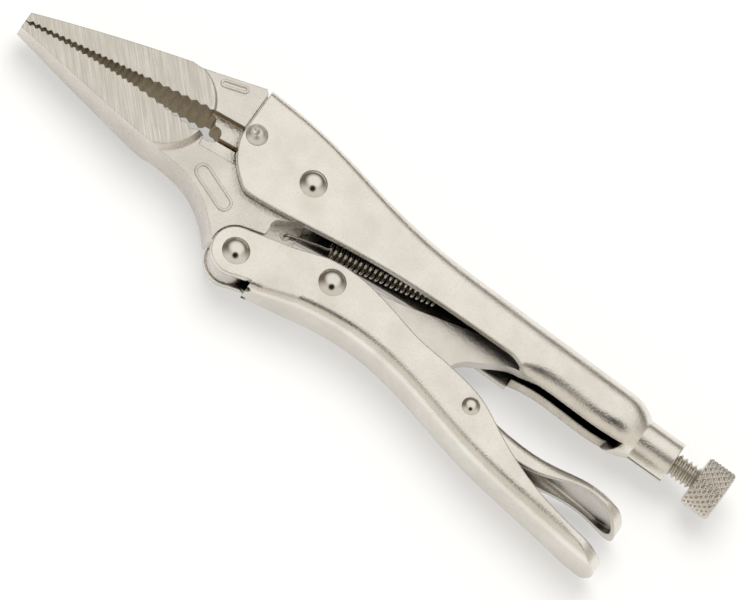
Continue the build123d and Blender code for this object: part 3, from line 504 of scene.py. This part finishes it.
class Finish(Enum):
    """The finishes of the pliers, each for one material slot of the part."""

    # Sheet steel, pressed and nickel plated to a satin: a warm pale gloss, softened by a fine pebble, with
    # well rounded edges, and painted black shade in the depths inside the folded sheet.
    PLATED_SHEET = MetalFinish(
        name="satin_nickel_on_pressed_steel", surface="#EAE6DE", shade="#CBC5BA", crevice="#120F0B",
        roughness=0.24, roughness_spread=0.05, pebble=0.34, pebble_depth=0.048, edge=0.50,
        crevice_reach=14.0, crevice_from=0.75, grain=Grain.PRESSED)
    # Forged steel under nickel: a coarser, duller pebble, straight grinding scratches on the nose faces and
    # oily brown bite faces.
    FORGED_JAW = MetalFinish(
        name="nickel_on_forged_steel", surface="#E4DFD8", shade="#C0BAAF", crevice="#5A4E3C",
        roughness=0.29, roughness_spread=0.05, pebble=0.52, pebble_depth=0.110, edge=0.25,
        crevice_reach=3.0, crevice_from=0.22, grain=Grain.FORGED)
    # A flat forging under nickel: even, a little duller than the sheet.
    FORGED_LINK = MetalFinish(
        name="nickel_on_flat_forging", surface="#E0DCD4", shade="#CAC4BA", crevice="#3A3128",
        roughness=0.32, roughness_spread=0.05, pebble=0.45, pebble_depth=0.050, edge=0.20,
        crevice_reach=3.0, crevice_from=0.40, grain=Grain.PRESSED)
    # A pin staked over and then plated: as pale as the sheet, with soft broad highlights.
    PLATED_PIN = MetalFinish(
        name="nickel_on_staked_pin", surface="#E6E2DB", shade="#D4CEC4", crevice="#6A5F50",
        roughness=0.34, roughness_spread=0.04, pebble=0.40, pebble_depth=0.030, edge=0.25,
        crevice_reach=1.5, crevice_from=0.20, grain=Grain.TURNED)
    # Polished rivet heads: bright domes that mirror the tent and its dark opening.
    POLISHED_RIVET = MetalFinish(
        name="polished_steel_rivet", surface="#E4E0D8", shade="#D6D0C6", crevice="#5B5145",
        roughness=0.11, roughness_spread=0.03, pebble=0.90, pebble_depth=0.012, edge=0.12,
        crevice_reach=1.5, crevice_from=0.30, grain=Grain.TURNED)
    # Drawn wire: a thin bright line along each turn, and painted black shade between the turns.
    SPRING_WIRE = MetalFinish(
        name="bright_spring_wire", surface="#CFC8BC", shade="#A39B8E", crevice="#0F0C09",
        roughness=0.22, roughness_spread=0.04, pebble=0.50, pebble_depth=0.004, edge=0.05,
        crevice_reach=0.8, crevice_from=0.70, grain=Grain.TURNED)
    # Rolled thread under nickel: grey crests, and painted dark shade in the roots.
    SCREW_STEEL = MetalFinish(
        name="nickel_on_rolled_thread", surface="#D8D3CA", shade="#BEB8AC", crevice="#3B342A",
        roughness=0.30, roughness_spread=0.05, pebble=0.40, pebble_depth=0.006, edge=0.06,
        crevice_reach=0.8, crevice_from=0.40, grain=Grain.TURNED)
    # Diamond knurl under nickel: small bright facets, with painted dark shade in the grooves between them.
    KNURLED_KNOB = MetalFinish(
        name="nickel_on_diamond_knurl", surface="#DCD7CE", shade="#C2BBB0", crevice="#4A4237",
        roughness=0.24, roughness_spread=0.05, pebble=0.40, pebble_depth=0.006, edge=0.06,
        crevice_reach=0.6, crevice_from=0.40, grain=Grain.TURNED)

    @property
    def slot(self) -> str:
        """Name of the record's material slot that takes this finish."""
        return self.name.lower()


class Workshop:
    """Loads the frame, keeps its parts at hand and builds each finish once."""

    def __init__(self) -> None:
        """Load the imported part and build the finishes."""
        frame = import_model()
        self.cad_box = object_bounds()
        self.nodes: dict[str, bpy.types.Object] = frame["nodes"]
        subparts = frame["record"]["subparts"]
        self.slots: dict[str, str] = {row["node"]: row["material_slot"] for row in subparts}
        pivot = self.centre("main_rivet")
        self.materials = {finish: finish.value.build(pivot) for finish in Finish}

    def centre(self, node: str) -> np.ndarray:
        """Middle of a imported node's box, in metres."""
        low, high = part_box(node)
        return (np.array(low) + np.array(high)) / 2

    def dress_nodes(self) -> None:
        """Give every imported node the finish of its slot."""
        for name, node in self.nodes.items():
            finish = Finish[self.slots[name].upper()]
            node.data.materials.clear()
            node.data.materials.append(self.materials[finish])
            LOG.info("%s dressed in %s", name, finish.value.name)

    def dress_piece(self, piece: bpy.types.Object, finish: Finish) -> None:
        """Give a new piece its finish and slot.

        Args:
            piece: The new object.
            finish: Its finish.
        """
        piece.data.materials.append(self.materials[finish])
        LOG.info("%s built, %d faces", piece.name, len(piece.data.polygons))


@dataclass
class KnurledKnob:
    """The adjusting screw's knob, with a diamond knurl that its rounded ends cut. Lengths are millimetres."""

    end_round: float = 0.9
    bore_r: float = 1.72
    diamonds_round: int = 21
    diamond_length: float = 1.55
    knurl_depth: float = 0.42
    crest_flat: float = 0.2
    samples_per_diamond: int = 14
    band_rings: int = 80
    face_rings: int = 6
    bore_rings: int = 5

    def build(self, shop: Workshop) -> None:
        """Build the knob, which turns with the screw.

        Args:
            shop: The loaded part and its finishes.
        """
        low, high = (np.array(corner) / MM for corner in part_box("adjusting_knob"))
        piece = grid_object("knurled_knob", self.surface(low, high) * MM, closed_along=True)
        shop.dress_piece(piece, Finish.KNURLED_KNOB)
        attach(piece, "screw_turn")
        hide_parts("adjusting_knob")

    def surface(self, low: np.ndarray, high: np.ndarray) -> np.ndarray:
        """Work out the knob's closed surface.

        The profile runs from the bore out over the front face, along the band, in over the rear face and back
        through the bore. Along the band the radius is the lesser of the rounded outline and the knurl.

        Args:
            low: Lowest corner of the knob's box.
            high: Highest corner of the knob's box.

        Returns:
            Points of shape (profile, around, 3), in millimetres.
        """
        radius = (high[1] - low[1]) / 2
        length = high[0] - low[0]
        band_x = np.linspace(0, length, self.band_rings)
        face_r = np.linspace(self.bore_r, radius - self.end_round, self.face_rings)[:-1]
        bore_x = np.linspace(length, 0, self.bore_rings)[1:-1]
        x = np.concatenate([np.zeros_like(face_r), band_x, np.full_like(face_r, length), bore_x])
        on_band = np.zeros(x.size, dtype=bool)
        on_band[face_r.size:face_r.size + band_x.size] = True
        inward = self.end_round - np.minimum(np.minimum(band_x, length - band_x), self.end_round)
        band_r = radius - self.end_round + np.sqrt(self.end_round**2 - inward**2)
        outline = np.concatenate([face_r, band_r, face_r[::-1], np.full_like(bore_x, self.bore_r)])
        angle = np.linspace(0, FULL_TURN, self.diamonds_round * self.samples_per_diamond, endpoint=False)
        knurl = radius - self.knurl_depth * self.groove_depth(x, angle)
        ring = np.where(on_band[:, None], np.minimum(outline[:, None], knurl), outline[:, None])
        middle = (low + high) / 2
        return np.stack([
            low[0] + np.broadcast_to(x[:, None], ring.shape),
            middle[1] + ring * np.cos(angle),
            middle[2] + ring * np.sin(angle),
        ], axis=-1)

    def groove_depth(self, x: np.ndarray, angle: np.ndarray) -> np.ndarray:
        """Work out the knurl's depth, from nought on the flat crests to one along the grooves.

        Two sets of V grooves wind round the knob in opposite ways. Each is a triangle wave of the diamonds
        counted round the knob, plus or minus those counted along it, and the deeper of the two holds.

        Args:
            x: Places along the knob, in millimetres.
            angle: Angles round the knob, in radians.

        Returns:
            Depths of shape (x, angle).
        """
        turn = self.diamonds_round * angle[None, :] / FULL_TURN
        lead = x[:, None] / self.diamond_length
        grooves = [np.abs(2 * ((turn + sign * lead) % 1) - 1) for sign in (1, -1)]
        crest = 1 - self.crest_flat
        return 1 - np.minimum(np.minimum(*grooves), crest) / crest


@dataclass
class ReturnSpring:
    """The extension spring inside the upper handle. Lengths are millimetres from the main rivet's axis."""

    wire_r: float = 0.3
    mean_r: float = 1.6
    pitch: float = 1.06
    turns: int = 21
    coil_from: tuple[float, float] = (9.8, -6.75)
    slope: float = math.radians(12.3)
    hook_hole: tuple[float, float] = (1.3, -10.0)
    tab_thickness: float = 1.6
    hook_past_tab: float = 0.6
    lead_off_tab: float = 0.4
    lead_before_coil: float = 2.4
    lead_drop: float = 0.6
    rear_tab_x: float = 38.8
    tail_before_tab: float = 1.9
    tail_past_tab: float = 1.3
    bend: float = 1.0
    wire_sides: int = 12
    rings_per_turn: int = 30
    bend_points: int = 10
    straight_points: int = 8
    lead_points: int = 14
    tail_points: int = 20
    axes: tuple[np.ndarray, np.ndarray, np.ndarray] = field(init=False)

    def __post_init__(self) -> None:
        """Set the spring's own axes: along the coil, across it in the side view, and out along the rivets."""
        along = np.array([math.cos(self.slope), math.sin(self.slope), 0.0])
        across = np.array([-math.sin(self.slope), math.cos(self.slope), 0.0])
        self.axes = along, across, np.array([0.0, 0.0, 1.0])

    def build(self, shop: Workshop) -> None:
        """Build the spring, which runs between the upper handle and the moving jaw.

        Args:
            shop: The loaded part and its finishes.
        """
        pivot = shop.centre("main_rivet")
        path, normals = self.path()
        piece = grid_object("return_spring_wire", self.tube(path, normals) * MM + pivot, closed_along=False)
        shop.dress_piece(piece, Finish.SPRING_WIRE)
        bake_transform(piece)
        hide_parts("return_spring")

    def path(self) -> tuple[np.ndarray, np.ndarray]:
        """Join the wire's centre line: front hook and lead, coil, rear hook.

        Returns:
            Points and a vector roughly square to the wire at each, both of shape (points, 3).
        """
        turn = np.linspace(0, self.turns, self.turns * self.rings_per_turn + 1)
        coil, outward = self.coil(turn)
        front, front_normals = self.front_hook(coil[0])
        rear = self.rear_hook(coil[-1])
        rear_normals = np.tile(self.axes[2], (len(rear), 1))
        return np.concatenate([front, coil, rear]), np.concatenate([front_normals, outward, rear_normals])

    def coil(self, turn: np.ndarray) -> tuple[np.ndarray, np.ndarray]:
        """Work out points of the coil and the unit vectors from its axis to them.

        A point lies the pitch times the turn along the axis, and the mean radius from it at the turn's angle.

        Args:
            turn: Turns from the coil's start.

        Returns:
            Points and outward unit vectors, each of shape (turns, 3).
        """
        along, across, out = self.axes
        angle = FULL_TURN * turn[:, None]
        outward = out * np.cos(angle) + across * np.sin(angle)
        start = np.array([*self.coil_from, 0.0])
        return start + along * self.pitch * turn[:, None] + outward * self.mean_r, outward

    def coil_run(self) -> np.ndarray:
        """Unit direction of the wire where the coil starts and ends: the helix's tangent at a whole turn."""
        along, across, _ = self.axes
        run = self.pitch / FULL_TURN * along + self.mean_r * across
        return run / np.linalg.norm(run)

    def quarter(self) -> np.ndarray:
        """Angles of a bend, even steps of a quarter circle, of shape (points, 1)."""
        return np.linspace(0, math.pi / 2, self.bend_points)[:, None]

    def front_hook(self, coil_start: np.ndarray) -> tuple[np.ndarray, np.ndarray]:
        """Work out the hook through the jaw's tab and the lead up to the coil.

        The hook is a straight run through the tab's hole and a quarter circle over the tab. The lead is a
        straight run in even steps, then a cubic curve onto the coil.

        Args:
            coil_start: First point of the coil.

        Returns:
            Points and a vector roughly square to the wire at each, both of shape (points, 3).
        """
        along, _, out = self.axes
        hook = np.array([*self.hook_hole, 0.0])
        toward = (coil_start - hook) * (1, 1, 0)
        toward /= np.linalg.norm(toward)
        wire_off_tab = self.tab_thickness / 2 + self.wire_r
        lead_z = wire_off_tab + self.lead_off_tab
        low = hook - out * (wire_off_tab + self.hook_past_tab)
        top = hook + out * (lead_z - self.bend)
        shank = np.linspace(low, top, self.straight_points)[:-1]
        sine, cosine = np.sin(self.quarter()), np.cos(self.quarter())
        bend = top + self.bend * (out * sine + toward * (1 - cosine))
        lead_end = coil_start - along * self.lead_before_coil
        lead_end = np.array([lead_end[0], lead_end[1] - self.lead_drop, lead_z])
        lead = np.linspace(bend[-1], lead_end, self.lead_points)[1:-1]
        lead_run = (lead_end - bend[-1]) / np.linalg.norm(lead_end - bend[-1])
        onto = self.ease(lead_end, lead_run, coil_start, self.coil_run(), self.lead_points)[:-1]
        normals = np.concatenate([
            np.tile(-toward, (len(shank), 1)),
            out * sine - toward * cosine,
            np.tile(out, (len(lead) + len(onto), 1)),
        ])
        return np.concatenate([shank, bend, lead, onto]), normals

    def rear_hook(self, coil_end: np.ndarray) -> np.ndarray:
        """Work out the run off the coil and the hook at the handle's tab.

        A cubic curve leaves the coil for its axis, a straight run passes the tab, and a quarter circle turns
        down behind it.

        Args:
            coil_end: Last point of the coil.

        Returns:
            Points of shape (points, 3).
        """
        along, across, _ = self.axes
        rise = (self.rear_tab_x - self.coil_from[0]) * math.tan(self.slope)
        eye = np.array([self.rear_tab_x, self.coil_from[1] + rise, 0.0])
        tail_from = eye - along * self.tail_before_tab
        tail_to = eye + along * self.tail_past_tab
        off = self.ease(coil_end, self.coil_run(), tail_from, along, self.tail_points)[1:]
        tail = np.linspace(tail_from, tail_to, self.straight_points)[1:]
        sine, cosine = np.sin(self.quarter()), np.cos(self.quarter())
        bend = tail_to + self.bend * (along * sine - across * (1 - cosine))
        return np.concatenate([off, tail, bend[1:]])

    @staticmethod
    def ease(start: np.ndarray, start_run: np.ndarray, end: np.ndarray, end_run: np.ndarray,
             count: int) -> np.ndarray:
        """Draw a cubic curve between two points that leaves and arrives along given directions.

        The curve is the Hermite blend of the two points and of the two directions, each as long as the chord.

        Args:
            start: First point.
            start_run: Unit direction at the first point.
            end: Last point.
            end_run: Unit direction at the last point.
            count: Number of points.

        Returns:
            Points of shape (count, 3).
        """
        t = np.linspace(0, 1, count)[:, None]
        chord = np.linalg.norm(end - start)
        return ((2 * t**3 - 3 * t**2 + 1) * start + (t**3 - 2 * t**2 + t) * chord * start_run
                + (3 * t**2 - 2 * t**3) * end + (t**3 - t**2) * chord * end_run)

    def tube(self, path: np.ndarray, normals: np.ndarray) -> np.ndarray:
        """Carry the wire's round section along its centre line.

        Each point is the wire's radius from the line, along the cosine of its angle times the normal plus the
        sine times the binormal.

        Args:
            path: Centre line, of shape (points, 3).
            normals: Vectors roughly square to it.

        Returns:
            Points of shape (points, wire sides, 3).
        """
        tangent = np.gradient(path, axis=0)
        tangent /= np.linalg.norm(tangent, axis=1, keepdims=True)
        normal = normals - tangent * np.sum(normals * tangent, axis=1, keepdims=True)
        normal /= np.linalg.norm(normal, axis=1, keepdims=True)
        binormal = np.cross(tangent, normal)
        angle = np.linspace(0, FULL_TURN, self.wire_sides, endpoint=False)[None, :, None]
        ring = np.cos(angle) * normal[:, None, :] + np.sin(angle) * binormal[:, None, :]
        return path[:, None, :] + self.wire_r * ring


@dataclass(frozen=True)
class TentPatch:
    """A round patch of the light tent with a soft rim.

    Attributes:
        colour: Colour of the patch.
        middle: Direction of its middle.
        full: Degrees from the middle up to which it is whole.
        faded: Degrees from the middle at which it has faded.
    """

    colour: str
    middle: Point
    full: float
    faded: float

    def lay_over(self, tree: Tree, way: Socket, below: Socket) -> Socket:
        """Lay the patch over the tent.

        Args:
            tree: The world's node tree.
            way: Direction looked in.
            below: Colour of the tent without the patch.

        Returns:
            Colour of the tent with the patch.
        """
        near = add_node(tree, "ShaderNodeVectorMath", {0: way, 1: Vector(self.middle).normalized()},
                        operation="DOT_PRODUCT")
        cover = add_node(tree, "ShaderNodeMapRange", {
            "Value": near.outputs["Value"], "From Min": math.cos(math.radians(self.faded)),
            "From Max": math.cos(math.radians(self.full))}, interpolation_type="SMOOTHSTEP")
        return add_node(tree, "ShaderNodeMix", {
            FACTOR: cover.outputs["Result"], COLOUR_A: below, COLOUR_B: linear(self.colour)},
            data_type="RGBA").outputs[COLOUR_OUT]


@dataclass
class Studio:
    """Pale floor, soft light and the camera at the photograph's angle. Lengths are metres."""

    camera_from: Point = (0.00527, -0.36632, 0.93047)
    camera_roll: float = math.radians(35.549)
    camera_distance: float = 2.904
    camera_reach: float = 20.0
    picture_scale: float = 0.189524 * MM
    aim_from_pivot: Point = (22.014 * MM, -9.814 * MM, 0.0)
    floor_half: float = 3.0
    floor_colour: str = "#FFFFFF"
    floor_glow: float = 0.4
    wall_behind: str = "#766E63"
    wall_in_front: str = "#E6E1D9"
    wall_front: Point = (0.5, -0.866, 0.0)
    wall_fade: float = 0.5
    ceiling: TentPatch = TentPatch("#FFFDF9", middle=(-0.10, 0.42, 0.90), full=24, faded=55)
    camera_opening: TentPatch = TentPatch("#241F19", middle=(0.20, -0.34, 0.92), full=9, faded=25)
    lamp_place: Point = (-0.25, 0.45, 1.1)
    lamp_size: float = 0.9
    lamp_watts: float = 7.5

    def build(self, shop: Workshop) -> None:
        """Build the floor, the surroundings, the lamp and the camera.

        Args:
            shop: The loaded part.
        """
        scene = bpy.context.scene
        scene.view_settings.view_transform = "Standard"
        self.lay_floor()
        self.surround(scene)
        self.hang_lamp()
        scene.camera = self.set_camera(shop.centre("main_rivet"))

    def lay_floor(self) -> None:
        """Lay a white paper floor, lifted to white for the camera and in metal, that keeps the shadow."""
        half = self.floor_half
        corners = [(-half, -half, 0), (half, -half, 0), (half, half, 0), (-half, half, 0)]
        mesh = bpy.data.meshes.new("floor")
        mesh.from_pydata(corners, [], [(0, 1, 2, 3)])
        floor = bpy.data.objects.new("floor", mesh)
        bpy.context.scene.collection.objects.link(floor)
        material = bpy.data.materials.new("white_paper")
        material.use_nodes = True
        tree = material.node_tree
        tree.nodes.clear()
        paper = add_node(tree, "ShaderNodeBsdfDiffuse", {"Color": linear(self.floor_colour)})
        glow = add_node(tree, "ShaderNodeEmission", {"Color": linear(self.floor_colour), "Strength": 1.0})
        ray = add_node(tree, "ShaderNodeLightPath", {})
        seen = ray.outputs["Is Camera Ray"]
        for kind in ("Is Glossy Ray", "Is Transmission Ray"):
            seen = add_node(tree, "ShaderNodeMath", {0: seen, 1: ray.outputs[kind]},
                            operation="MAXIMUM").outputs[0]
        share = add_node(tree, "ShaderNodeMath", {0: seen, 1: self.floor_glow}, operation="MULTIPLY")
        mixed = add_node(tree, "ShaderNodeMixShader", {
            0: share.outputs[0], 1: paper.outputs["BSDF"], 2: glow.outputs["Emission"]})
        add_node(tree, "ShaderNodeOutputMaterial", {"Surface": mixed.outputs["Shader"]})
        mesh.materials.append(material)
        floor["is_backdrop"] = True

    def surround(self, scene: bpy.types.Scene) -> None:
        """Put up a light tent: white overhead, grey behind the tool, paler in front, with a dark opening.

        Args:
            scene: The scene that takes the world.
        """
        world = bpy.data.worlds.new("light_tent")
        scene.world = world
        world.use_nodes = True
        tree = world.node_tree
        tree.nodes.clear()
        way = add_node(tree, "ShaderNodeTexCoord", {}).outputs["Generated"]
        front = add_node(tree, "ShaderNodeVectorMath", {0: way, 1: self.wall_front}, operation="DOT_PRODUCT")
        side = add_node(tree, "ShaderNodeMapRange", {
            "Value": front.outputs["Value"], "From Min": -self.wall_fade, "From Max": self.wall_fade},
            interpolation_type="SMOOTHSTEP")
        tent = add_node(tree, "ShaderNodeMix", {
            FACTOR: side.outputs["Result"], COLOUR_A: linear(self.wall_behind),
            COLOUR_B: linear(self.wall_in_front)}, data_type="RGBA").outputs[COLOUR_OUT]
        for patch in (self.ceiling, self.camera_opening):
            tent = patch.lay_over(tree, way, tent)
        sky = add_node(tree, "ShaderNodeBackground", {"Color": tent, "Strength": 1.0})
        add_node(tree, "ShaderNodeOutputWorld", {"Surface": sky.outputs["Background"]})

    def hang_lamp(self) -> None:
        """Hang one broad softbox over the paper, kept out of the metal's reflections."""
        lamp = bpy.data.lights.new("softbox", "AREA")
        lamp.shape = "DISK"
        lamp.size = self.lamp_size
        lamp.energy = self.lamp_watts
        box = bpy.data.objects.new("softbox", lamp)
        box.location = self.lamp_place
        box.rotation_euler = (-Vector(box.location)).to_track_quat("-Z", "Y").to_euler()
        box.visible_glossy = False
        bpy.context.scene.collection.objects.link(box)

    def set_camera(self, pivot: np.ndarray) -> bpy.types.Object:
        """Place the camera as the photograph shows the tool.

        Args:
            pivot: The main rivet's middle, in metres.

        Returns:
            The camera object.
        """
        back = Vector(self.camera_from).normalized()
        level = (Vector((1, 0, 0)) - back * back.x).normalized()
        upward = back.cross(level)
        cosine, sine = math.cos(self.camera_roll), math.sin(self.camera_roll)
        right = level * cosine + upward * sine
        up = upward * cosine - level * sine
        data = bpy.data.cameras.new("camera")
        data.sensor_width = SENSOR_WIDTH
        data.lens = SENSOR_WIDTH * self.camera_distance / (self.picture_scale * IMAGE_WIDTH)
        data.clip_end = self.camera_reach
        camera = bpy.data.objects.new("camera", data)
        turn = Matrix((right, up, back)).transposed().to_4x4()
        target = Vector(pivot) + Vector(self.aim_from_pivot)
        camera.matrix_world = Matrix.Translation(target + back * self.camera_distance) @ turn
        bpy.context.scene.collection.objects.link(camera)
        return camera


def main() -> None:
    """Load the part, dress it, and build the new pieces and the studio."""
    logging.basicConfig(level=logging.INFO, format="%(name)s: %(message)s")
    shop = Workshop()
    shop.dress_nodes()
    KnurledKnob().build(shop)
    ReturnSpring().build(shop)
    Studio().build(shop)


if __name__ == "__main__":
    main()
